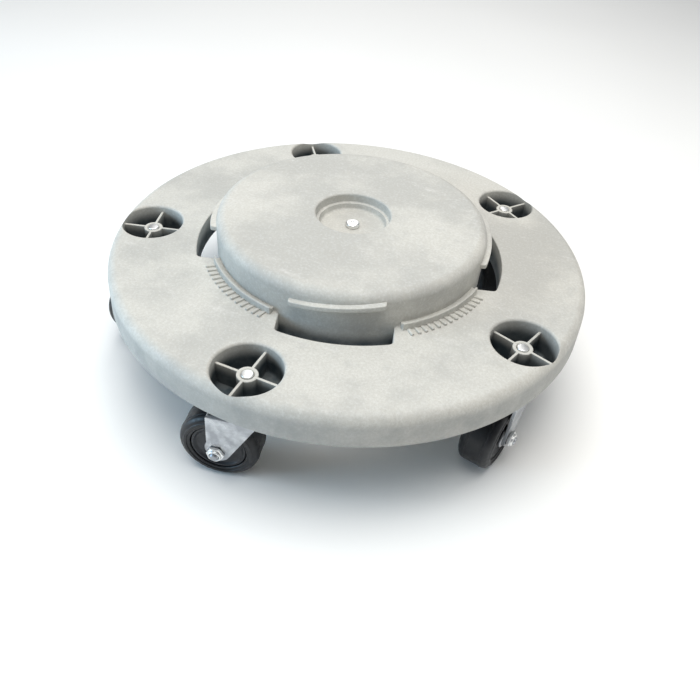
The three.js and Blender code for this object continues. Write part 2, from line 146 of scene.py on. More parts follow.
class Solid:
    """One closed solid while it is being shaped, in millimetres."""

    SHARP_EDGE = math.radians(30.0)
    MERGE_DISTANCE = 1e-4
    TURNED_FACE = 0.93
    TURNING_SLOPE = math.tan(math.radians(30.0))
    TURNING_STEPS = 48

    def __init__(self) -> None:
        """Starts an empty solid."""
        self.mesh = bmesh.new()

    @classmethod
    def spun(cls, profile: Sequence[Point], steps: int, looped: bool = False) -> "Solid":
        """A full turn of a profile about Z.

        Args:
            profile: Points as (radius, height). An open profile starts and ends on the axis.
            steps: Steps round the turn.
            looped: Whether the last point joins the first.

        Returns:
            The turned solid.
        """
        solid = cls()
        bm = solid.mesh
        verts = [bm.verts.new((radius, 0.0, height)) for radius, height in profile]
        edges = [bm.edges.new(pair) for pair in zip(verts, verts[1:])]
        if looped:
            edges.append(bm.edges.new((verts[-1], verts[0])))
        bmesh.ops.spin(
            bm, geom=verts + edges, cent=(0, 0, 0), axis=(0, 0, 1), dvec=(0, 0, 0),
            angle=math.tau, steps=steps, use_merge=True, use_normal_flip=False, use_duplicate=False,
        )
        bmesh.ops.remove_doubles(bm, verts=bm.verts, dist=cls.MERGE_DISTANCE)
        bmesh.ops.recalc_face_normals(bm, faces=bm.faces)
        return solid

    @classmethod
    def rod(cls, radius: float, low: float, high: float, steps: int) -> "Solid":
        """A plain round rod along Z, which cuts a bore."""
        return cls.spun([(0, low), (radius, low), (radius, high), (0, high)], steps)

    @classmethod
    def hexagon(cls, flats: float, low: float, high: float, turned_low: bool = True) -> "Solid":
        """A hexagon along Z with its corners turned off on top, and below if asked.

        Args:
            flats: Width across the flats.
            low: Height of its lower face.
            high: Height of its upper face.
            turned_low: Whether the lower corners are turned off too.

        Returns:
            The hexagon.
        """
        radius = flats / math.sqrt(3)
        sides = 6
        outline = arc((0.0, 0.0), radius, 0.0, FULL_TURN - FULL_TURN / sides, sides - 1)
        prism = cls.pushed(outline, low, high)
        face = flats / 2 * cls.TURNED_FACE
        past = radius + 0.2
        drop = (radius - face) * cls.TURNING_SLOPE
        profile = [(0.0, low)]
        profile += [(face, low), (past, low + drop)] if turned_low else [(past, low)]
        profile += [(past, high - drop), (face, high), (0.0, high)]
        return prism.combined(cls.spun(profile, cls.TURNING_STEPS), Join.KEEP)

    @classmethod
    def pushed(cls, outline: Sequence[Point], low: float, high: float) -> "Solid":
        """A flat outline pushed up from one height to another."""
        solid = cls()
        bm = solid.mesh
        base = bm.faces.new([bm.verts.new((x, y, low)) for x, y in outline])
        grown = bmesh.ops.extrude_face_region(bm, geom=[base], use_keep_orig=True)
        risen = [item for item in grown["geom"] if isinstance(item, bmesh.types.BMVert)]
        bmesh.ops.translate(bm, vec=(0, 0, high - low), verts=risen)
        bmesh.ops.recalc_face_normals(bm, faces=bm.faces)
        return solid

    @classmethod
    def stacked(cls, layers: Sequence[tuple[Sequence[Point], float]]) -> "Solid":
        """A solid through outlines of the same count of points, each at its own height."""
        solid = cls()
        bm = solid.mesh
        rings: list[list[bmesh.types.BMEdge]] = []
        loops: list[list[bmesh.types.BMVert]] = []
        for outline, height in layers:
            verts = [bm.verts.new((x, y, height)) for x, y in outline]
            edges = [bm.edges.new(pair) for pair in zip(verts, verts[1:] + verts[:1])]
            rings.append(edges)
            loops.append(verts)
        for lower, upper in zip(rings, rings[1:]):
            bmesh.ops.bridge_loops(bm, edges=lower + upper)
        bm.faces.new(loops[0])
        bm.faces.new(loops[-1])
        bmesh.ops.recalc_face_normals(bm, faces=bm.faces)
        return solid

    @classmethod
    def block(cls, low: Sequence[float], high: Sequence[float]) -> "Solid":
        """A box between its lowest and highest corners."""
        solid = cls()
        bmesh.ops.create_cube(solid.mesh, size=1.0)
        size = [b - a for a, b in zip(low, high)]
        middle = [(a + b) / 2 for a, b in zip(low, high)]
        bmesh.ops.scale(solid.mesh, vec=size, verts=solid.mesh.verts)
        bmesh.ops.translate(solid.mesh, vec=middle, verts=solid.mesh.verts)
        return solid

    def softened(self, width: float, segments: int, where: EdgeTest | None = None) -> "Solid":
        """Rounds edges.

        Args:
            width: Width of the rounding.
            segments: Facets across it.
            where: Picks the edges; all sharp ones when left out.

        Returns:
            This solid.
        """
        chosen = [
            edge for edge in self.mesh.edges
            if edge.calc_face_angle(0.0) > self.SHARP_EDGE and (where is None or where(edge))
        ]
        bmesh.ops.bevel(
            self.mesh, geom=chosen, offset=width, offset_type="OFFSET", affect="EDGES",
            segments=segments, profile=0.5, material=-1, clamp_overlap=True,
        )
        return self

    def moved(self, matrix: Matrix) -> "Solid":
        """Moves or turns this solid and returns it."""
        bmesh.ops.transform(self.mesh, matrix=matrix, verts=self.mesh.verts)
        if matrix.determinant() < 0:
            bmesh.ops.reverse_faces(self.mesh, faces=self.mesh.faces)
        return self

    def copy(self) -> "Solid":
        """A second solid of the same shape."""
        twin = Solid()
        twin.mesh.free()
        twin.mesh = self.mesh.copy()
        return twin

    def beside(self, others: Iterable["Solid"]) -> "Solid":
        """Takes in other solids that don't touch this one, and returns it."""
        for other in others:
            carrier = bpy.data.meshes.new("carrier")
            other.mesh.to_mesh(carrier)
            self.mesh.from_mesh(carrier)
            bpy.data.meshes.remove(carrier)
            other.mesh.free()
        return self

    def copied(self, places: Iterable[Matrix]) -> "Solid":
        """Copies of this solid, one at each place, as one solid."""
        copies = [self.copy().moved(place) for place in places]
        return copies[0].beside(copies[1:])

    def ringed(self, angles: Sequence[float]) -> "Solid":
        """Copies of this solid turned about Z to each angle in degrees."""
        return self.copied(turn(angle) for angle in angles)

    def _held(self, name: str) -> bpy.types.Object:
        """This solid as a short-lived object."""
        data = bpy.data.meshes.new(name)
        self.mesh.to_mesh(data)
        held = bpy.data.objects.new(name, data)
        bpy.context.scene.collection.objects.link(held)
        return held

    def combined(self, tool: "Solid", how: Join) -> "Solid":
        """Adds, cuts or keeps the common part with another solid, and returns the result."""
        work, other = self._held("work"), tool._held("tool")
        step = work.modifiers.new("combine", "BOOLEAN")
        step.object = other
        step.operation = how.value
        step.solver = "MANIFOLD"
        seen = work.evaluated_get(bpy.context.evaluated_depsgraph_get())
        made = bpy.data.meshes.new_from_object(seen)
        self.mesh.free()
        self.mesh = bmesh.new()
        self.mesh.from_mesh(made)
        for held in (work, other):
            data = held.data
            bpy.data.objects.remove(held)
            bpy.data.meshes.remove(data)
        bpy.data.meshes.remove(made)
        tool.mesh.free()
        return self

    def finished(self, name: str, place: "Place", material: bpy.types.Material) -> bpy.types.Object:
        """Stores this solid as a piece of the dolly.

        Args:
            name: The piece's name.
            place: The body it rides on and the nodes that it stands for.
            material: Its finish.

        Returns:
            The finished object.
        """
        bmesh.ops.scale(self.mesh, vec=(MM, MM, MM), verts=self.mesh.verts)
        for face in self.mesh.faces:
            face.smooth = True
        data = bpy.data.meshes.new(name)
        self.mesh.to_mesh(data)
        self.mesh.free()
        data.set_sharp_from_angle(angle=math.radians(place.crease))
        data.materials.append(material)
        piece = bpy.data.objects.new(name, data)
        bpy.context.scene.collection.objects.link(piece)
        evened = piece.modifiers.new("even_shading", "WEIGHTED_NORMAL")
        evened.keep_sharp = True
        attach(piece, place.body)
        if place.nodes:
            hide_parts(*place.nodes)
        log.info("%s: %d faces, on %s", name, len(data.polygons), place.body)
        return piece


@dataclass(frozen=True)
class Place:
    """Where a finished piece belongs."""

    body: str
    slot: Slot
    nodes: tuple[str, ...] = ()
    crease: float = 32.0


def turn(degrees: float, axis: str = "Z") -> Matrix:
    """A turn about one axis of the frame."""
    return Matrix.Rotation(math.radians(degrees), 4, axis)


def shift(x: float, y: float, z: float) -> Matrix:
    """A move along the frame's axes."""
    return Matrix.Translation((x, y, z))


def slope(along_x: float, along_y: float, rise: float = 0.0) -> Matrix:
    """A shear that lifts a solid by its x and y, and by a rise everywhere."""
    return Matrix(((1, 0, 0, 0), (0, 1, 0, 0), (along_x, along_y, 1, rise), (0, 0, 0, 1)))


# ---- Finishes -----------------------------------------------------------------------


class Recipe:
    """Builds one material's nodes."""

    SHARE, UNDER, OVER, BLENDED = 0, 6, 7, 2

    def __init__(self, name: str) -> None:
        """Starts a material that holds a shader and its output."""
        self.material = bpy.data.materials.new(name)
        self.material.use_nodes = True
        self.tree = self.material.node_tree
        self.shader = self.tree.nodes["Principled BSDF"]
        self.place = self.tree.nodes.new("ShaderNodeTexCoord")

    def node(self, kind: str, **settings: object) -> bpy.types.Node:
        """Adds a node. Settings are its own properties, or sockets given as in_0, in_Scale and so on."""
        made = self.tree.nodes.new("ShaderNode" + kind)
        for key, value in settings.items():
            if not key.startswith("in_"):
                setattr(made, key, value)
        for key, value in settings.items():
            if key.startswith("in_"):
                label = key[3:].replace("_", " ")
                socket = made.inputs[int(label) if label.isdigit() else label]
                self.feed(value, socket)
        return made

    def feed(self, value: object, socket: bpy.types.NodeSocket) -> None:
        """Links a value into a socket, or sets the socket when the value is a constant."""
        if isinstance(value, bpy.types.NodeSocket):
            self.tree.links.new(value, socket)
        elif isinstance(value, bpy.types.Node):
            self.tree.links.new(value.outputs[0], socket)
        else:
            socket.default_value = value

    def noise(
        self, scale: float, detail: float = 4.0, rough: float = 0.55,
        stretch: Sequence[float] = (1, 1, 1), offset: Sequence[float] = (0, 0, 0),
    ) -> Socket:
        """A cloudy pattern on the piece, from 0 to 1.

        Args:
            scale: Clouds per metre.
            detail: Octaves.
            rough: How strong the finer octaves are.
            stretch: Scale along each axis.
            offset: Where the pattern starts.

        Returns:
            The pattern's strength.
        """
        laid = self.node(
            "Mapping", in_Vector=self.place.outputs["Object"],
            in_Scale=tuple(stretch), in_Location=tuple(offset),
        )
        made = self.node("TexNoise", in_Vector=laid, in_Scale=scale, in_Detail=detail, in_Roughness=rough)
        return made.outputs[0]

    def span(
        self, value: object, low: float, high: float, to_low: float = 0.0, to_high: float = 1.0,
    ) -> Socket:
        """Maps a value smoothly from one range to another and clamps it."""
        made = self.node(
            "MapRange", interpolation_type="SMOOTHSTEP", in_Value=value,
            in_From_Min=low, in_From_Max=high, in_To_Min=to_low, in_To_Max=to_high,
        )
        return made.outputs[0]

    def sum(self, how: str, first: object, second: object) -> Socket:
        """Arithmetic on two values."""
        return self.node("Math", operation=how, in_0=first, in_1=second).outputs[0]

    def blend(self, share: object, under: object, over: object, how: str = "MIX") -> Socket:
        """Lays one colour over another by a share."""
        made = self.tree.nodes.new("ShaderNodeMix")
        made.data_type = "RGBA"
        made.blend_type = how
        self.feed(share, made.inputs[self.SHARE])
        self.feed(under, made.inputs[self.UNDER])
        self.feed(over, made.inputs[self.OVER])
        return made.outputs[self.BLENDED]

    def split(self, kind: str = "Object") -> bpy.types.Node:
        """The separate parts of a coordinate."""
        return self.node("SeparateXYZ", in_0=self.place.outputs[kind])

    def relief(self, *layers: tuple[object, float, float]) -> None:
        """Stacks bumps. Each layer is a height, its depth in metres and its strength."""
        normal = None
        for height, depth, strength in layers:
            bump = self.node("Bump", in_Height=height, in_Distance=depth, in_Strength=strength)
            if normal is not None:
                self.tree.links.new(normal, bump.inputs["Normal"])
            normal = bump.outputs[0]
        self.tree.links.new(normal, self.shader.inputs["Normal"])

    def dress(self, **sockets: object) -> bpy.types.Material:
        """Feeds the shader's sockets and returns the material."""
        for key, value in sockets.items():
            self.feed(value, self.shader.inputs[key.replace("_", " ")])
        return self.material


def tint(red: int, green: int, blue: int) -> Colour:
    """A display colour as the linear colour that a shader wants."""
    parts = [c / 255 for c in (red, green, blue)]
    straight = [p / 12.92 if p <= 0.04045 else ((p + 0.055) / 1.055) ** 2.4 for p in parts]
    return (*straight, 1.0)


@dataclass(frozen=True)
class DeckPlastic:
    """Pale grey moulded plastic: mottled, finely pitted, scuffed on top, with painted shade down in its
    hollows and on the lower outside of its skirt.

    Heights and distances are metres.
    """

    pale: Colour = tint(207, 206, 199)
    dull: Colour = tint(185, 185, 180)
    scuff: Colour = tint(218, 217, 213)
    stain: Colour = tint(170, 165, 154)
    # painted shade: the grey laid on the lower outside of the skirt
    skirt_shade: Colour = tint(128, 132, 133)
    # painted shade: the dark colour laid down in the hollows
    hollow_shade: Colour = tint(44, 57, 64)
    edge_of_deck: float = 0.2293
    edge_blur: float = 0.0004
    # heights where the painted hollow shade begins and where it is full
    hollow_shade_top: float = 0.1225
    hollow_shade_full: float = 0.1080
    bar_top: float = 0.1180
    # heights where the painted skirt shade begins and where it is full
    skirt_shade_top: float = 0.1200
    skirt_shade_full: float = 0.1120

    def mottled(self, r: Recipe, blotches: Socket, rubbed: Socket) -> Socket:
        """The colour of the plastic itself: clouds, blotches, scuffs, stains and fine grains.

        Args:
            r: The material being built.
            blotches: Pattern of the duller patches.
            rubbed: Pattern of the rubbed streaks.

        Returns:
            The colour.
        """
        clouds = r.noise(8.0, 5.0, 0.66)
        spills = r.noise(15.0, 6.0, 0.7, offset=(1, 9, 5))
        specks = r.noise(950.0, 2.0, 0.5)
        grains = r.noise(430.0, 3.0, 0.7, offset=(6, 3, 8))
        body = r.blend(r.span(clouds, 0.38, 0.60), self.dull, self.pale)
        body = r.blend(r.span(blotches, 0.55, 0.72, 0.0, 0.45), body, self.dull)
        body = r.blend(r.span(rubbed, 0.56, 0.74, 0.0, 0.55), body, self.scuff)
        body = r.blend(r.span(spills, 0.6, 0.78, 0.0, 0.4), body, self.stain)
        body = r.blend(r.span(specks, 0.30, 0.42, 0.35, 0.0), body, self.stain)
        body = r.blend(r.span(grains, 0.40, 0.60, 0.22, 0.0), body, self.stain)
        return r.blend(r.span(grains, 0.52, 0.70, 0.0, 0.30), body, self.scuff)

    def within_skirt(self, r: Recipe, place: bpy.types.Node) -> Socket:
        """One inside the skirt's outer face, nought on it."""
        flat = r.node("CombineXYZ", in_X=place.outputs[0], in_Y=place.outputs[1])
        out = r.node("VectorMath", operation="LENGTH", in_0=flat).outputs["Value"]
        return r.span(out, self.edge_of_deck - self.edge_blur, self.edge_of_deck + self.edge_blur, 1.0, 0.0)

    def painted_hollow_shade(self, r: Recipe, within: Socket, height: Socket) -> Socket:
        """How much painted shade darkens the hollows below the deck inside the skirt, sparing the upward
        tops of the bars.
        """
        depth = r.span(height, self.hollow_shade_full, self.hollow_shade_top, 1.0, 0.0)
        upward = r.sum("GREATER_THAN", r.split("Normal").outputs[2], 0.5)
        on_bar = r.sum("MULTIPLY", upward, r.sum("GREATER_THAN", height, self.bar_top))
        dark = r.sum("MULTIPLY", r.sum("MULTIPLY", within, depth), r.sum("SUBTRACT", 1.0, on_bar))
        return r.sum("MULTIPLY", dark, r.span(r.noise(70.0, 5.0, 0.6), 0.3, 0.7, 0.86, 1.0))

    def paint(self) -> bpy.types.Material:
        """Builds the material."""
        r = Recipe("pale_deck_plastic")
        blotches = r.noise(55.0, 4.0, 0.6, offset=(3, 1, 0))
        rubbed = r.noise(22.0, 8.0, 0.72, stretch=(1.0, 3.2, 1.0), offset=(7, 2, 4))
        place = r.split()
        height = place.outputs[2]
        within = self.within_skirt(r, place)
        body = self.mottled(r, blotches, rubbed)
        # painted shade darkening the sockets, windows and other hollows below the deck
        body = r.blend(self.painted_hollow_shade(r, within, height), body, self.hollow_shade)
        # painted shade on the lower outside of the skirt, made patchy by the blotches
        low = r.span(height, self.skirt_shade_full, self.skirt_shade_top, 1.0, 0.0)
        outside = r.sum("MULTIPLY", low, r.sum("SUBTRACT", 1.0, within))
        skirt_shade_share = r.sum("MULTIPLY", outside, r.span(blotches, 0.3, 0.7, 0.30, 0.50))
        body = r.blend(skirt_shade_share, body, self.skirt_shade)
        r.relief(
            (r.noise(1500.0, 2.0, 0.5), 0.00006, 0.35),
            (r.noise(260.0, 3.0, 0.5), 0.00012, 0.35),
            (r.noise(14.0, 2.0, 0.4), 0.0009, 0.3),
        )
        rough = r.span(rubbed, 0.35, 0.75, 0.62, 0.48)
        return r.dress(Base_Color=body, Roughness=rough, Specular_IOR_Level=0.4)


@dataclass(frozen=True)
class PlatedSteel:
    """Zinc-plated or polished steel: drawn grain, cloudy passivation and small dull spots."""

    name: str
    bright: Colour
    dull: Colour
    rough_low: float
    rough_high: float
    spots: Colour = tint(96, 90, 82)

    def paint(self) -> bpy.types.Material:
        """Builds the material."""
        r = Recipe(self.name)
        clouds = r.noise(70.0, 5.0, 0.6)
        grain = r.noise(420.0, 3.0, 0.6, stretch=(1.0, 1.0, 0.12))
        body = r.blend(r.span(clouds, 0.35, 0.65), self.dull, self.bright)
        spots = r.span(r.noise(330.0, 6.0, 0.75, offset=(5, 5, 1)), 0.66, 0.74, 0.0, 0.6)
        body = r.blend(spots, body, self.spots)
        cloudy = r.span(clouds, 0.3, 0.7, self.rough_high, self.rough_low)
        rough = r.sum("ADD", cloudy, r.sum("MULTIPLY", spots, 0.3))
        r.relief((grain, 0.00004, 0.25), (r.noise(1800.0, 1.0, 0.5), 0.00001, 0.4))
        return r.dress(Base_Color=body, Metallic=1.0, Roughness=rough)


@dataclass(frozen=True)
class Rubber:
    """Black rubber or dark core plastic: faint mottling, road dust and fine scuffs."""

    name: str
    dark: Colour
    worn: Colour
    dust: Colour
    rough: float
    dusty: float

    def paint(self) -> bpy.types.Material:
        """Builds the material."""
        r = Recipe(self.name)
        body = r.blend(r.span(r.noise(60.0, 4.0, 0.6), 0.35, 0.7), self.dark, self.worn)
        powder = r.span(r.noise(160.0, 7.0, 0.75, offset=(2, 8, 3)), 0.5, 0.75, 0.0, self.dusty)
        body = r.blend(powder, body, self.dust)
        smears = r.noise(240.0, 4.0, 0.6, offset=(4, 4, 0))
        rough = r.span(smears, 0.3, 0.7, self.rough - 0.08, self.rough + 0.1)
        r.relief((r.noise(900.0, 3.0, 0.6), 0.00008, 0.35), (r.noise(90.0, 3.0, 0.5), 0.0002, 0.25))
        return r.dress(Base_Color=body, Roughness=rough, Specular_IOR_Level=0.45)


# ---- Deck ---------------------------------------------------------------------------


@dataclass
class Deck:
    """The moulded deck: hub, sockets, windows, ledges, lock rails, skirt and underside.

    Sizes are millimetres. Those that the frame holds are filled in from it.
    """

    radius: float
    bottom: float
    deck_top: float
    hub_top: float
    sockets: list[Vector]
    wall: float = 4.5
    plate: float = 5.0
    draft: float = 1.0
    shoulder: float = 9.0
    hub_radius: float = 129.5
    hub_round: float = 9.5
    hub_foot: float = 1.5
    recess_radius: float = 36.0
    recess_step: float = 8.6
    recess_depth: float = 14.5
    bolt_hole: float = 4.3
    socket_radius: float = 29.3
    socket_floor: float = 4.0
    socket_rim: float = 2.6
    boss_radius: float = 9.0
    boss_drop: float = 6.8
    pin_hole: float = 5.5
    bar_width: float = 2.4
    window_first: float = 18.0
    window_count: int = 4
    window_half: float = 50.0
    window_outer: float = 149.5
    window_rim: float = 1.2
    window_corner: float = 4.5
    collar_bottom: float = 101.0
    collar_wall: float = 3.5
    ledge_radius: float = 134.8
    ledge_half: float = 41.0
    ledge_drop: float = 10.8
    ledge_slope: float = 0.09
    ledge_thick: float = 4.5
    rail_radius: float = 135.5
    rail_height: float = 7.0
    rail_half_angle: float = 20.0
    rail_lip: float = 1.8
    rail_groove: float = 2.5
    tooth_count: int = 14
    tooth_radius: float = 144.2
    tooth_height: float = 2.4
    tooth_slope: float = 0.13
    tooth_width: float = 3.0
    tooth_half_angle: float = 17.6
    rib_depth: float = 14.0
    rib_width: float = 3.0
    turn_steps: int = 240
    cup_steps: int = 72
    boss_steps: int = 48
    pin_hole_steps: int = 40
    window_steps: int = 18
    collar_steps: int = 16
    rail_steps: int = 30
    foot_round: float = 1.0
    recess_lip_round: float = 1.8
    recess_step_round: float = 0.9
    recess_step_width: float = 2.9
    recess_foot_round: float = 3.0
    recess_foot_inset: float = 7.4
    hub_inner_round: float = 5.0
    skirt_inner_round: float = 4.0
    skin_inset: float = 1.6

    @classmethod
    def from_frame(cls) -> "Deck":
        """A deck with the frame's sizes."""
        low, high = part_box("deck")
        mounts = {mount["name"]: mount for mount in frame["record"]["mounts"]}
        deck_top = mounts["deck_top"]["pos_m"][2]
        pins = [Vector(joint["pos_m"]) for joint in frame["joints"] if joint["name"].endswith("swivel")]
        sockets = [Vector((pin.x, pin.y, 0.0)) / MM for pin in pins]
        return cls(high.x / MM, low.z / MM, deck_top / MM, high.z / MM, sockets)

    @property
    def socket_angles(self) -> list[float]:
        """Where the sockets stand, in degrees."""
        return [math.degrees(math.atan2(spot.y, spot.x)) for spot in self.sockets]

    @property
    def window_angles(self) -> list[float]:
        """Where the windows stand, in degrees."""
        return ring_angles(self.window_count, self.window_first)

    @property
    def rail_angles(self) -> list[float]:
        """Where the lock rails stand, in degrees."""
        return ring_angles(self.window_count, self.window_first + 180.0 / self.window_count)

    def at_sockets(self, solid: Solid) -> Solid:
        """Copies of a solid, one in each socket."""
        return solid.copied(shift(*spot) for spot in self.sockets)

    def outer_skin(self, inset: float = 0.0) -> list[Point]:
        """The outside outline from the skirt's foot over the shoulder to the top of the hub."""
        foot = self.radius - inset
        bend = self.radius - self.draft - self.shoulder
        round_top = self.hub_top - self.hub_round
        hub = self.hub_radius - inset
        curve = self.foot_round
        points = [(foot - curve, self.bottom), (foot - 0.3 * curve, self.bottom + 0.3 * curve)]
        points += [(foot, self.bottom + curve)]
        points += arc((bend, self.deck_top - self.shoulder), self.shoulder - inset, 0, 90, 9)
        top = self.deck_top - inset
        points += arc((hub + self.hub_foot, top + self.hub_foot), self.hub_foot, 270, 180, 4)
        points += arc((self.hub_radius - self.hub_round, round_top), self.hub_round - inset, 0, 90, 10)
        return points

    def recess(self) -> list[Point]:
        """The stepped dish in the middle of the hub, from its lip to its floor."""
        lip = self.recess_radius
        step = self.hub_top - self.recess_step
        floor = self.hub_top - self.recess_depth
        soft, small, foot = self.recess_lip_round, self.recess_step_round, self.recess_foot_round
        points = arc((lip + soft, self.hub_top - soft), soft, 90, 180, 6)
        points += arc((lip - small - 0.4, step + small), small, 0, -90, 4)
        points += arc((lip - self.recess_step_width, step - small + 0.1), small - 0.1, 90, 155, 4)
        points += arc((lip - self.recess_foot_inset, floor + foot), foot, -20, -90, 6)
        return points

    def underside(self) -> list[Point]:
        """The inside outline from the bolt hole back to the skirt's foot."""
        inner = self.hub_radius - self.wall
        skirt = self.radius - self.draft - self.wall
        under = self.deck_top - self.plate
        ceiling = self.hub_top - self.plate
        dish = self.hub_top - self.recess_depth - self.plate
        points = [(self.recess_radius - 2.0, dish), (self.recess_radius + 3.4, dish + 4.6)]
        points += arc((self.recess_radius + 6.0, ceiling - 1.5), 1.5, 180, 90, 3)
        curve = self.hub_inner_round
        points += arc((inner - curve, ceiling - curve), curve, 90, 0, 6)
        points += [(inner, under)]
        curve = self.skirt_inner_round
        points += arc((skirt - curve, under - curve), curve, 90, 0, 5)
        points += [(self.radius - self.wall, self.bottom)]
        return points

    def shell(self) -> Solid:
        """The bare moulding before anything stands on it or is cut from it."""
        floor = self.hub_top - self.recess_depth
        hole = [(self.bolt_hole, floor), (self.bolt_hole, floor - self.plate)]
        profile = self.outer_skin() + self.recess() + hole + self.underside()
        return Solid.spun(profile, self.turn_steps, looped=True)

    def inside_structure(self) -> Solid:
        """Socket cups, window collars and stiffening ribs, held just inside the outer skin."""
        cup_radius = self.socket_radius + self.wall - 1.0
        low = self.bottom
        profile = [(0, low), (cup_radius - 0.8, low), (cup_radius, low + 0.8)]
        profile += [(cup_radius, self.hub_top), (0, self.hub_top)]
        cups = self.at_sockets(Solid.spun(profile, self.cup_steps))
        rim = self.collar_wall
        inner, corner = self.hub_radius - self.wall, self.window_corner + 1.0
        outer, half = self.window_outer + rim, self.window_half + rim
        outline = parallel_sector(inner, outer, half, corner, self.collar_steps)
        collars = Solid.pushed(outline, self.collar_bottom, self.hub_top).ringed(self.window_angles)
        half = self.rib_width / 2
        rib = Solid.block(
            (self.hub_radius - self.wall, -half, self.deck_top - self.rib_depth - self.plate),
            (self.radius - 2.0, half, self.hub_top),
        )
        between = [angle + 180.0 / len(self.sockets) for angle in self.socket_angles]
        structure = cups.combined(collars, Join.ADD).combined(rib.ringed(between), Join.ADD)
        skin = self.outer_skin(self.skin_inset)
        profile = [(0.0, self.bottom)] + skin + [(0.0, self.hub_top - self.skin_inset)]
        bulk = Solid.spun(profile, self.turn_steps)
        return structure.combined(bulk, Join.KEEP)

    def window_cutter(self) -> Solid:
        """What is taken out for the four windows, flared at the deck's top for a rounded rim."""
        inner = self.hub_radius + 0.06
        rim = self.window_rim
        layers = [(self.bottom - 2.0, 0.0), (self.deck_top - rim, 0.0)]
        layers += [(height, grow) for grow, height in arc((rim, self.deck_top - rim), rim, 180, 90, 4)[1:]]
        layers.append((self.deck_top + self.hub_foot + 0.4, rim))
        outer, half, corner = self.window_outer, self.window_half, self.window_corner
        stack = [
            (parallel_sector(inner, outer + grow, half + grow, corner + grow, self.window_steps), height)
            for height, grow in layers
        ]
        return Solid.stacked(stack).ringed(self.window_angles)

    def socket_cutter(self) -> Solid:
        """What is taken out for the five open sockets, with a soft rim and a rounded floor."""
        floor = self.bottom + self.socket_floor
        wall, rim = self.socket_radius, self.socket_rim
        profile = [(0.0, floor)]
        profile += arc((wall - 3.4, floor + 2.6), 2.6, 270, 360, 5)
        profile += arc((wall + rim, self.deck_top - rim), rim, 180, 90, 6)
        profile += [(wall + rim, self.hub_top + 5.0), (0.0, self.hub_top + 5.0)]
        return self.at_sockets(Solid.spun(profile, self.cup_steps))

    def bosses(self) -> Solid:
        """The post in the middle of every socket."""
        top = self.deck_top - self.boss_drop
        foot = self.bottom + 1.0
        profile = [(0.0, foot), (self.boss_radius + 0.7, foot)]
        profile += [(self.boss_radius, top - 0.9)]
        profile += arc((self.boss_radius - 0.9, top - 0.9), 0.9, 0, 90, 4)[1:]
        profile += [(0.0, top)]
        return self.at_sockets(Solid.spun(profile, self.boss_steps))

    def bars(self, across: bool) -> Solid:
        """The thin cross bars of every socket, those along the radius or those across it."""
        top = self.deck_top - self.boss_drop
        half = self.bar_width / 2
        reach = self.socket_radius + 1.2
        bar = Solid.block((self.boss_radius - 2.0, -half, self.bottom + 1.0), (reach, half, top))
        bar.softened(0.5, 3, lambda edge: all(vert.co.z > top - 0.01 for vert in edge.verts))
        first = 90.0 if across else 0.0
        pair = bar.ringed([first, first + 180.0])
        spots = zip(self.sockets, self.socket_angles)
        return pair.copied(shift(*spot) @ turn(angle) for spot, angle in spots)

    def pin_holes(self) -> Solid:
        """The countersunk bore through every boss."""
        top = self.deck_top - self.boss_drop
        hole = self.pin_hole
        wide, past = hole + 1.1, top + 3.0
        profile = [(0.0, self.bottom - 2.0), (hole, self.bottom - 2.0), (hole, top - 0.9)]
        profile += [(wide, top + 0.2), (wide, past), (0.0, past)]
        return self.at_sockets(Solid.spun(profile, self.pin_hole_steps))

    def ledges(self) -> Solid:
        """The lug ramp over each window, rising anticlockwise."""
        top = self.hub_top - self.ledge_drop
        outline = parallel_sector(self.hub_radius - 3.0, self.ledge_radius, self.ledge_half, 2.5, 18)
        ledge = Solid.pushed(outline, top - self.ledge_thick, top).softened(0.8, 3)
        ledge.moved(slope(0.0, self.ledge_slope))
        return ledge.ringed(self.window_angles)

    def band(self, inner: float, outer: float, start: float, end: float) -> list[Point]:
        """Outline of a curved band between two radii and two angles."""
        steps = self.rail_steps
        return arc((0, 0), outer, start, end, steps) + arc((0, 0), inner, end, start, steps)

    def rails(self) -> Solid:
        """The lock rail between each pair of windows, with a groove along the hub."""
        start, end = -self.rail_half_angle, self.rail_half_angle
        outline = self.band(self.hub_radius - 2.0, self.rail_radius, start, end)
        top = self.deck_top + self.rail_height
        rail = Solid.pushed(outline, self.deck_top - 2.0, top).softened(0.8, 3)
        inner, outer = self.hub_radius - 0.4, self.rail_radius - self.rail_lip
        outline = self.band(inner, outer, start - 1, end + 1)
        groove = Solid.pushed(outline, top - self.rail_groove, top + 3.0)
        groove.softened(0.7, 3, lambda edge: all(vert.co.z < top for vert in edge.verts))
        return rail.combined(groove, Join.CUT).ringed(self.rail_angles)

    def teeth(self) -> Solid:
        """The short radial bars along the foot of every lock rail, rising outwards."""
        half = self.tooth_width / 2
        tooth = Solid.block(
            (self.rail_radius - 1.5, -half, self.deck_top - 2.0),
            (self.tooth_radius, half, self.deck_top + self.tooth_height),
        ).softened(0.9, 3, lambda edge: any(vert.co.z > self.deck_top for vert in edge.verts))
        tooth.moved(slope(self.tooth_slope, 0.0, -self.tooth_slope * self.tooth_radius))
        step = 2 * self.tooth_half_angle / (self.tooth_count - 1)
        fan = [-self.tooth_half_angle + step * i for i in range(self.tooth_count)]
        return tooth.ringed([rail + angle for rail in self.rail_angles for angle in fan])

    def build(self, plastic: bpy.types.Material) -> bpy.types.Object:
        """Makes the whole moulding as one piece."""
        body = self.shell().combined(self.inside_structure(), Join.ADD)
        body.combined(self.window_cutter(), Join.CUT)
        body.combined(self.socket_cutter(), Join.CUT)
        body.combined(self.bosses(), Join.ADD)
        body.combined(self.bars(False), Join.ADD)
        body.combined(self.bars(True), Join.ADD)
        body.combined(self.pin_holes(), Join.CUT)
        body.combined(self.ledges(), Join.ADD)
        body.combined(self.rails(), Join.ADD)
        body.combined(self.teeth(), Join.ADD)
        return body.finished("moulded_deck", Place("root", Slot.DECK, ("deck",)), plastic)


# ---- Casters ------------------------------------------------------------------------


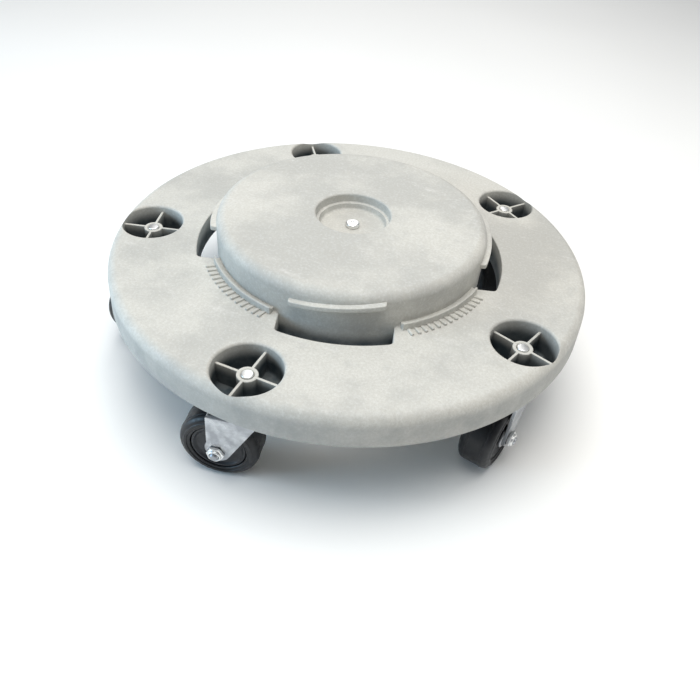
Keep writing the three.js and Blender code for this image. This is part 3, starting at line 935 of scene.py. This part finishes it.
# UPRIGHT stands a section drawn in x and y across the Y-Z plane, running along X.
# ACROSS lays a piece that was made along Z along -Y, as everything on an axle is.
UPRIGHT = Matrix(((0, 0, 1, 0), (1, 0, 0, 0), (0, 1, 0, 0), (0, 0, 0, 1)))
ACROSS = Matrix(((1, 0, 0, 0), (0, 0, -1, 0), (0, 1, 0, 0), (0, 0, 0, 1)))


@dataclass(frozen=True)
class CasterFinishes:
    """The finishes that the casters share."""

    zinc: bpy.types.Material
    bright: bpy.types.Material
    sleeve: bpy.types.Material
    rubber: bpy.types.Material
    core: bpy.types.Material

    @classmethod
    def painted(cls) -> "CasterFinishes":
        """The finishes with their colours."""
        zinc = PlatedSteel("zinc_plated_steel", tint(196, 200, 204), tint(160, 163, 168), 0.24, 0.42)
        bright = PlatedSteel(
            "bright_steel", tint(250, 250, 248), tint(232, 233, 233), 0.30, 0.44, tint(200, 200, 198),
        )
        sleeve = PlatedSteel("sleeve_steel", tint(200, 202, 205), tint(158, 160, 163), 0.32, 0.5)
        rubber = Rubber("black_rubber", tint(14, 16, 20), tint(25, 27, 32), tint(80, 82, 82), 0.42, 0.12)
        core = Rubber("dark_core", tint(17, 21, 28), tint(27, 31, 39), tint(80, 84, 88), 0.36, 0.10)
        return cls(*(finish.paint() for finish in (zinc, bright, sleeve, rubber, core)))


@dataclass
class Caster:
    """One swivel caster: kingpin, races and balls, pressed fork, axle set, guards, core and tyre.

    Sizes are millimetres, in a frame at the swivel axis with the trail along +X.
    """

    number: int
    pin: Vector
    heading: float
    trail: float
    wheel_radius: float
    seat: float
    pin_top: float
    finishes: CasterFinishes
    pin_radius: float = 5.2
    clearance: float = 0.3
    race_radius: float = 22.2
    race_depth: float = 8.0
    ball_circle: float = 15.0
    ball_radius: float = 2.5
    ball_count: int = 14
    ball_gap: float = 0.35
    crown_top: float = 85.4
    crown_radius: float = 18.6
    plate_top: float = 80.8
    thickness: float = 2.5
    fork_inner: float = 16.5
    bend: float = 4.0
    nose: float = -11.5
    tail: float = 31.5
    eye_radius: float = 10.0
    eye_offset: float = 1.7
    axle_radius: float = 4.0
    bolt_flats: float = 13.0
    nut_flats: float = 14.0
    head_height: float = 5.2
    nut_height: float = 5.2
    bolt_end: float = 6.7
    thread_pitch: float = 1.25
    sleeve_radius: float = 6.2
    guard_radius: float = 11.5
    hub_half: float = 13.6
    web_half: float = 11.6
    rim_half: float = 13.6
    tread_half: float = 15.5
    tyre_bore: float = 25.3
    rivet_drop: float = 3.2
    rivet_radius: float = 8.0
    rivet_round: float = 2.8
    pin_round: float = 1.3
    race_sheet_round: float = 2.6
    race_lip_round: float = 1.1
    cage_half: float = 0.4
    leg_corner: float = 3.2
    nose_corner: float = 2.5
    thread_depth: float = 0.55
    wheel_steps: int = 112
    dish_steps: int = 64
    ring_steps: int = 56
    small_steps: int = 40
    bore_steps: int = 32

    @classmethod
    def from_frame(cls, number: int, finishes: CasterFinishes) -> "Caster":
        """A caster at its place in the frame."""
        joints = {joint["name"]: joint for joint in frame["joints"]}
        pin = Vector(joints[f"caster_{number}_swivel"]["pos_m"]) / MM
        axle = Vector(joints[f"caster_{number}_roll"]["pos_m"]) / MM
        arm = (axle - pin).to_2d()
        pin_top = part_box(f"caster_{number}_stem")[1].z / MM
        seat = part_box(f"caster_{number}_top_race")[1].z / MM
        heading = math.degrees(math.atan2(arm.y, arm.x))
        return cls(number, pin, heading, arm.length, axle.z, seat, pin_top, finishes)

    @property
    def stand(self) -> Matrix:
        """From the swivel's frame to the dolly's."""
        return shift(self.pin.x, self.pin.y, 0.0) @ turn(self.heading)

    @property
    def axle(self) -> Matrix:
        """From a turned piece along +Z to its place on the axle."""
        return self.stand @ shift(self.trail, 0.0, self.wheel_radius) @ ACROSS

    @property
    def fork_face(self) -> float:
        """Distance from the wheel's middle to the outside of a fork leg, with its clearance."""
        return self.fork_inner + self.thickness + self.clearance

    @property
    def ball_height(self) -> float:
        """Height of the balls' middles, a little above the crown that they roll on."""
        return self.crown_top + self.ball_radius + self.ball_gap

    def label(self, part: str) -> str:
        """The full name of one of this caster's pieces, nodes or bodies."""
        return f"caster_{self.number}_{part}"

    def kingpin(self) -> Solid:
        """Rivet head below, plain shank, and a softly domed crown above."""
        head = self.plate_top - self.thickness - self.clearance
        pin, top = self.pin_radius, self.pin_top
        curve = self.rivet_round
        profile = [(0.0, head - self.rivet_drop), (3.2, head - self.rivet_drop + 0.1)]
        profile += arc((self.rivet_radius - curve, head - 0.2), curve, 275, 360, 6)
        profile += [(self.rivet_radius, head), (pin, head)]
        profile += arc((pin - self.pin_round, top - self.pin_round - 0.2), self.pin_round, 0, 80, 6)
        profile += [(2.0, top - 0.04), (0.0, top)]
        return Solid.spun(profile, self.small_steps)

    def upper_race(self) -> Solid:
        """An inverted dish with a rolled edge."""
        bore = self.pin_radius + self.clearance
        top, out = self.seat, self.race_radius
        low = top - self.race_depth
        profile = [(bore, top - 2.2)]
        profile += arc((out - 3.6, top - 3.6), 1.4, 90, 0, 5)
        curve = self.race_lip_round
        profile += arc((out - curve, low + curve), curve, 180, 360, 8)
        curve = self.race_sheet_round
        profile += arc((out - curve, top - curve), curve, 0, 90, 7)
        profile += [(bore, top)]
        return Solid.spun(profile, self.dish_steps, looped=True)

    def balls(self) -> Solid:
        """The swivel balls."""
        ball = Solid()
        bmesh.ops.create_uvsphere(ball.mesh, u_segments=16, v_segments=10, radius=self.ball_radius)
        ball.moved(shift(self.ball_circle, 0.0, self.ball_height))
        return ball.ringed(ring_angles(self.ball_count, 0.0))

    def cage(self) -> Solid:
        """The thin stamped ring that spaces the balls."""
        height = self.ball_height
        inner, outer, half = self.ball_circle - 3.4, self.ball_circle + 3.2, self.cage_half
        profile = [(inner, height - 1.2), (inner + 0.7, height - 1.2), (inner + 0.7, height - half)]
        profile += arc((outer - half, height), half, 270, 450, 5)
        profile += [(inner + 0.2, height + half), (inner, height + 0.2)]
        return Solid.spun(profile, self.ring_steps, looped=True)

    def leg_outline(self) -> list[Point]:
        """Side view of the fork: nose, raked edge, round eye, and the steep edge up to the tail."""
        eye = (self.trail - self.eye_offset, self.wheel_radius)
        top = self.plate_top
        nose = self.nose + self.nose_corner
        tail = self.tail - self.leg_corner
        points = arc((nose, top - 4.0), self.nose_corner, 90, 200, 5)
        points += arc(eye, self.eye_radius, 209, 362, 20)
        points += arc((tail, top - self.leg_corner), self.leg_corner, 4, 90, 5)
        points += [(self.tail - 4.0, top + 1.0), (nose, top + 1.0)]
        return points

    def fork(self) -> Solid:
        """The pressed fork: a bent channel trimmed to its side view, with a raised ball crown."""
        outer = self.fork_inner + self.thickness
        low = self.wheel_radius - self.eye_radius - 3.0
        turn_at = outer - self.bend
        knee = self.plate_top - self.bend
        inside = self.bend - self.thickness
        channel = [(outer, low)] + arc((turn_at, knee), self.bend, 0, 90, 7)
        channel += arc((-turn_at, knee), self.bend, 90, 180, 7) + [(-outer, low), (-self.fork_inner, low)]
        channel += arc((-turn_at, knee), inside, 180, 90, 4) + arc((turn_at, knee), inside, 90, 0, 4)
        channel += [(self.fork_inner, low)]
        sheet = Solid.pushed(channel, self.nose - 8.0, self.tail + self.trail).moved(UPRIGHT)
        side = Solid.pushed(self.leg_outline(), -outer - 4.0, outer + 4.0).moved(ACROSS)
        sheet.combined(side, Join.KEEP)
        sheet.combined(self.ball_crown(), Join.ADD)
        under, above = self.plate_top - self.thickness - 2, self.crown_top + 2
        pin_bore = Solid.rod(self.pin_radius + self.clearance, under, above, self.small_steps)
        sheet.combined(pin_bore, Join.CUT)
        axle_bore = Solid.rod(self.axle_radius + self.clearance, -outer - 3, outer + 3, self.bore_steps)
        axle_bore.moved(shift(self.trail, 0.0, self.wheel_radius) @ ACROSS)
        return sheet.combined(axle_bore, Join.CUT)

    def ball_crown(self) -> Solid:
        """The raised crown of the fork, with the groove that its balls run in."""
        under, crown = self.plate_top - self.thickness, self.crown_radius
        profile = [(0.0, under), (crown, under), (crown, self.plate_top + 1.2)]
        profile += arc((crown - 2.2, self.crown_top - 2.2), 2.2, 0, 90, 6)
        profile += arc((self.ball_circle, self.crown_top + 1.6), 2.3, 315, 225, 6)
        profile += [(0.0, self.crown_top)]
        return Solid.spun(profile, self.dish_steps)

    def bolt(self) -> Solid:
        """Hexagon head, plain shank and a threaded end."""
        face = self.fork_face
        end = -face - self.bolt_end
        head = Solid.hexagon(self.bolt_flats, face + 0.35, face + self.head_height, False)
        radius, root = self.axle_radius, self.axle_radius - self.thread_depth
        profile = [(0.0, end), (root - 0.4, end), (root, end + 0.5)]
        height = end + 0.7
        while height < 3.0 - face:
            profile += [(root, height), (radius, height + 0.45 * self.thread_pitch)]
            profile += [(radius, height + 0.55 * self.thread_pitch)]
            height += self.thread_pitch
        profile += [(root, height), (radius, height + 0.6), (radius, face)]
        flange = self.bolt_flats / 2 - 0.3
        profile += [(flange, face), (flange, face + 1.0), (0.0, face + 1.0)]
        return head.combined(Solid.spun(profile, self.small_steps), Join.ADD)

    def nut(self) -> Solid:
        """A lock nut: hexagon with a round collar at its outer end."""
        near = -self.fork_face
        far = near - self.nut_height
        shoulder = far + 2.1
        body = Solid.hexagon(self.nut_flats, shoulder, near)
        collar = self.nut_flats / 2 - 0.9
        profile = [(0.0, far), (collar - 1.5, far)]
        profile += arc((collar - 1.3, far + 1.3), 1.3, 280, 360, 5)
        profile += [(collar, shoulder + 1.0), (0.0, shoulder + 1.0)]
        body.combined(Solid.spun(profile, self.small_steps), Join.ADD)
        bore = self.axle_radius + self.clearance
        profile = [(0, far - 1), (bore + 0.5, far - 1), (bore + 0.5, far), (bore, far + 0.5)]
        profile += [(bore, near + 1), (0, near + 1)]
        return body.combined(Solid.spun(profile, self.bore_steps), Join.CUT)

    def sleeve(self) -> Solid:
        """The bearing sleeve that the wheel turns on."""
        half = self.fork_inner - self.clearance
        bore, out, lip = self.axle_radius + self.clearance, self.sleeve_radius, 0.4
        profile = [(bore + lip, -half), (out - lip, -half), (out, lip - half), (out, half - lip)]
        profile += [(out - lip, half), (bore + lip, half), (bore, half - lip), (bore, lip - half)]
        return Solid.spun(profile, self.small_steps, looped=True)

    def guard(self, side: int) -> Solid:
        """A dished thread guard between the hub and a fork leg."""
        near, far = self.hub_half + self.clearance, self.fork_inner - self.clearance
        bore, out = self.sleeve_radius + self.clearance, self.guard_radius
        profile = [(bore, near), (out - 0.5, near)]
        profile += arc((out - 0.6, near + 0.6), 0.6, 280, 360, 3)
        profile += arc((out - 0.9, far - 0.9), 0.9, 0, 90, 4)
        profile += [(out - 2.2, far), (out - 3.0, far - 0.7), (bore + 1.0, far - 0.7), (bore, far - 0.3)]
        guard = Solid.spun(profile, self.ring_steps, looped=True)
        return guard.moved(turn(180.0, "X")) if side > 0 else guard

    def both_sides(self, side: list[Point]) -> Solid:
        """A ring about the axle from the outline of its one half, the other half alike."""
        other = [(radius, -height) for radius, height in reversed(side)]
        return Solid.spun(side + other, self.wheel_steps, looped=True)

    def core(self) -> Solid:
        """The moulded wheel centre: hub barrel, thin web and rim."""
        bore, rim, half = self.sleeve_radius + self.clearance, self.tyre_bore - 0.6, self.hub_half
        web, edge = self.web_half, self.rim_half
        side = [(bore, half - 0.4), (bore + 0.4, half), (10.2, half)]
        side += arc((10.2, half - 0.8), 0.8, 80, 0, 3)
        side += arc((12.8, web + 1.2), 1.2, 200, 270, 4)
        side += arc((19.4, web + 3.0), 3.0, 270, 300, 3)
        side += arc((rim - 1.8, edge - 0.8), 0.8, 120, 90, 3)
        side += arc((rim - 0.8, edge - 0.8), 0.8, 90, 0, 4)
        return self.both_sides(side)

    def tyre(self) -> Solid:
        """The solid tyre: sidewall step, rounded shoulders, faint crown and mould line."""
        bore, out, half = self.tyre_bore, self.wheel_radius, self.tread_half
        side = [(bore, half - 1.6), (bore + 0.5, half - 1.0), (bore + 2.6, half - 0.9)]
        side += arc((bore + 3.4, half - 0.5), 0.5, 200, 90, 4)
        side += [(out - 5.6, half)]
        side += arc((out - 5.6, half - 0.7), 0.7, 80, 20, 3)
        side += arc((out - 6.2, half - 6.6), 6.0, 74, 8, 10)
        side += [(out - 0.35, half - 7.3), (out, half - 7.6), (out, half - 8.3), (out - 0.35, half - 8.6)]
        side += [(out - 0.25, 2.0), (out - 0.22, 0.4)]
        return self.both_sides(side)

    def build(self) -> None:
        """Makes and places every piece of the caster."""
        use = self.finishes
        stand, axle = self.stand, self.axle
        yoke, wheel = self.label("yoke"), self.label("wheel")
        self.put(self.kingpin(), stand, "kingpin", "root", Slot.BRIGHT, use.bright, "stem")
        self.put(self.upper_race(), stand, "upper_race", "root", Slot.ZINC, use.zinc, "top_race")
        self.put(self.balls(), stand, "swivel_balls", "root", Slot.BRIGHT, use.bright, "ball_ring")
        self.put(self.cage(), stand, "ball_cage", "root", Slot.BRIGHT, use.sleeve, "ball_ring")
        self.put(self.fork(), stand, "pressed_fork", yoke, Slot.ZINC, use.zinc, "fork")
        self.put(self.bolt(), axle, "hex_bolt", yoke, Slot.ZINC, use.zinc, "axle_bolt")
        self.put(self.nut(), axle, "lock_nut", yoke, Slot.BRIGHT, use.bright, "axle_nut")
        self.put(self.sleeve(), axle, "bearing_sleeve", yoke, Slot.SLEEVE, use.sleeve, "axle_sleeve")
        self.put(self.guard(1), axle, "thread_guard_left", yoke, Slot.SLEEVE, use.sleeve, "guard_left")
        self.put(self.guard(-1), axle, "thread_guard_right", yoke, Slot.SLEEVE, use.sleeve, "guard_right")
        self.put(self.core(), axle, "wheel_centre", wheel, Slot.CORE, use.core, "wheel_core")
        self.put(self.tyre(), axle, "solid_tyre", wheel, Slot.TYRE, use.rubber, "tyre")

    def put(
        self, solid: Solid, where: Matrix, piece: str, body: str, slot: Slot,
        material: bpy.types.Material, node: str,
    ) -> None:
        """Finishes one piece at its place.

        Args:
            solid: Its shape.
            where: From the solid's own frame to the dolly's.
            piece: Its name within this caster.
            body: The body that it rides on.
            slot: Its finish slot; kept with its place but not used.
            material: Its finish.
            node: The node that it stands for, as named within this caster.
        """
        place = Place(body, slot, (self.label(node),))
        solid.moved(where).finished(self.label(piece), place, material)


# ---- Centre fastener ----------------------------------------------------------------


@dataclass
class CentreFastener:
    """The bolt in the middle of the hub's dish, with its washer and nut underneath."""

    steel: bpy.types.Material
    zinc: bpy.types.Material
    shank: float = 4.0
    head: float = 7.0
    head_height: float = 4.0
    washer_radius: float = 10.0
    nut_flats: float = 13.0
    clearance: float = 0.3
    steps: int = 48
    bore_steps: int = 32

    def heights(self, node: str) -> tuple[float, float]:
        """Lowest and highest height of a node in the frame."""
        low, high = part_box(node)
        return low.z / MM, high.z / MM

    def bolt(self) -> Solid:
        """A round head with a shallow dimple, on a plain shank."""
        low, high = self.heights("centre_bolt")
        seat = high - self.head_height
        profile = [(0.0, low), (self.shank - 0.7, low), (self.shank, low + 0.7), (self.shank, seat)]
        profile += [(self.head - 0.3, seat), (self.head, seat + 0.3), (self.head, seat + 1.0)]
        profile += arc((self.head - 2.0, high - 2.2), 2.0, 5, 84, 6)
        profile += [(2.2, high), (1.8, high - 0.2), (1.5, high - 0.9), (0.0, high - 1.0)]
        return Solid.spun(profile, self.steps)

    def washer(self) -> Solid:
        """A plain washer with soft edges."""
        low, high = self.heights("centre_washer")
        bore, out, lip = self.shank + self.clearance, self.washer_radius, 0.25
        profile = [(bore, low), (out - lip, low), (out, low + lip)]
        profile += [(out, high - lip), (out - lip, high), (bore, high)]
        return Solid.spun(profile, self.steps, looped=True)

    def build(self) -> None:
        """Makes the three pieces."""
        self.bolt().finished("round_head_bolt", Place("root", Slot.BRIGHT, ("centre_bolt",)), self.steel)
        self.washer().finished("plain_washer", Place("root", Slot.ZINC, ("centre_washer",)), self.zinc)
        low, high = self.heights("centre_nut")
        bore = Solid.rod(self.shank + self.clearance, low - 1, high + 1, self.bore_steps)
        nut = Solid.hexagon(self.nut_flats, low, high).combined(bore, Join.CUT)
        nut.finished("hub_nut", Place("root", Slot.ZINC, ("centre_nut",)), self.zinc)


# ---- Studio -------------------------------------------------------------------------


@dataclass(frozen=True)
class Lamp:
    """A soft square light aimed at the deck. Places and sizes are metres, power is watts."""

    name: str
    spot: tuple[float, float, float]
    size: float
    power: float
    colour: tuple[float, float, float] = (1.0, 1.0, 1.0)

    def hang(self) -> None:
        """Puts the light in the scene."""
        data = bpy.data.lights.new(self.name, "AREA")
        data.shape = "SQUARE"
        data.size = self.size
        data.energy = self.power
        data.color = self.colour
        lamp = bpy.data.objects.new(self.name, data)
        lamp.location = self.spot
        aim = Vector((0.0, 0.0, 0.1)) - Vector(self.spot)
        lamp.rotation_euler = aim.to_track_quat("-Z", "Y").to_euler()
        bpy.context.scene.collection.objects.link(lamp)


@dataclass
class Studio:
    """Pale floor, soft lights and the camera, in metres, degrees, watts and a lens in millimetres."""

    eye: tuple[float, float, float] = (0.20269, -0.51720, 0.48850)
    tilt: tuple[float, float, float] = (47.633, -3.924, 24.060)
    lens: float = 34.0
    sensor: float = 36.0
    floor_half: float = 4.0
    sky_colour: Colour = (0.93, 0.96, 1.0, 1.0)
    sky_strength: float = 0.22
    lamps: list[Lamp] = field(default_factory=lambda: [
        Lamp("overhead", (0.0, -0.15, 1.9), 1.5, 35.0, (1.0, 0.985, 0.96)),
        Lamp("back_card", (-0.7, 1.7, 1.6), 1.2, 10.0, (1.0, 0.99, 0.98)),
        Lamp("window_side", (-1.35, -1.0, 0.5), 0.8, 15.5, (0.50, 0.76, 1.0)),
        Lamp("far_side", (1.7, 0.35, 0.7), 0.9, 3.5, (1.0, 0.98, 0.94)),
    ])

    def camera(self) -> None:
        """Sets the camera."""
        data = bpy.data.cameras.new("camera")
        data.lens = self.lens
        data.sensor_width = self.sensor
        data.clip_start = 0.01
        camera = bpy.data.objects.new("camera", data)
        camera.location = self.eye
        camera.rotation_euler = [math.radians(angle) for angle in self.tilt]
        bpy.context.scene.collection.objects.link(camera)
        bpy.context.scene.camera = camera

    def floor(self) -> None:
        """A plain pale floor."""
        r = Recipe("pale_floor")
        body = r.blend(r.span(r.noise(1.5, 2.0, 0.5), 0.4, 0.6), tint(252, 252, 250), tint(254, 254, 252))
        material = r.dress(Base_Color=body, Roughness=0.9)
        ground = Solid()
        bmesh.ops.create_grid(ground.mesh, x_segments=2, y_segments=2, size=self.floor_half)
        data = bpy.data.meshes.new("floor")
        ground.mesh.to_mesh(data)
        data.materials.append(material)
        floor = bpy.data.objects.new("floor", data)
        bpy.context.scene.collection.objects.link(floor)

    def surroundings(self) -> None:
        """An even pale sky."""
        world = bpy.data.worlds.new("sky")
        world.use_nodes = True
        sky = world.node_tree.nodes["Background"]
        sky.inputs["Color"].default_value = self.sky_colour
        sky.inputs["Strength"].default_value = self.sky_strength
        bpy.context.scene.world = world
        bpy.context.scene.view_settings.view_transform = "Standard"

    def build(self) -> None:
        """Sets up camera, floor, sky and lights."""
        self.camera()
        self.floor()
        self.surroundings()
        for lamp in self.lamps:
            lamp.hang()


def main() -> None:
    """Builds the dolly in order: studio, deck, centre fastener, casters."""
    Studio().build()
    Deck.from_frame().build(DeckPlastic().paint())
    finishes = CasterFinishes.painted()
    CentreFastener(finishes.bright, finishes.zinc).build()
    count = sum(joint["name"].endswith("swivel") for joint in frame["joints"])
    for number in range(1, count + 1):
        Caster.from_frame(number, finishes).build()


if __name__ == "__main__":
    main()
